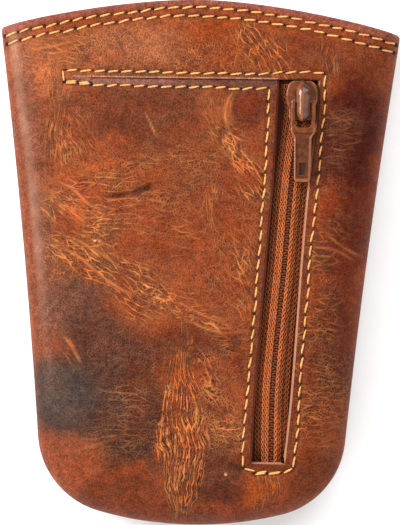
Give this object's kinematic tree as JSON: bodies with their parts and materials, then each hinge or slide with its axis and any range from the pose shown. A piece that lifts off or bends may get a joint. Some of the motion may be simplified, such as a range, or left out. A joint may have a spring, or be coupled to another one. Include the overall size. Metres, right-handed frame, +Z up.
{
  "type": "leather key case",
  "caption": "Soft leather key case with an open mouth, a turned hem, a slit and zip pocket on its front, and a swinging zip pull tab.",
  "frame": {"origin": "under the middle of the case, on the surface that its back rests on", "axes": "+X across the case towards the side with the zip, +Y along the case towards its open mouth, +Z up through the front panel"},
  "size_m": [0.0952, 0.125, 0.0201],
  "materials": {
    "front_leather": "waxed pull-up leather, worn and creased",
    "back_leather": "waxed pull-up leather",
    "zip_tape": "woven",
    "zip_coil": "nylon coil with sewing thread",
    "slider_lacquer": "glossy brown lacquer",
    "thread": "waxed sewing thread"
  },
  "bodies": {
    "case": {"front_panel": "front_leather", "back_panel": "back_leather", "zip_tape_left": "zip_tape", "zip_tape_right": "zip_tape", "zip_coil_left": "zip_coil", "zip_coil_right": "zip_coil", "zip_slider": "slider_lacquer"},
    "tab": {"pull_tab": "slider_lacquer"}
  },
  "joints": [
    {"name": "tab_hinge", "type": "hinge", "parent": "case", "child": "tab", "pos_m": [0.02475, 0.0387, 0.01855], "axis": [-1, 0, 0], "range_deg": [0, 178]}
  ]
}
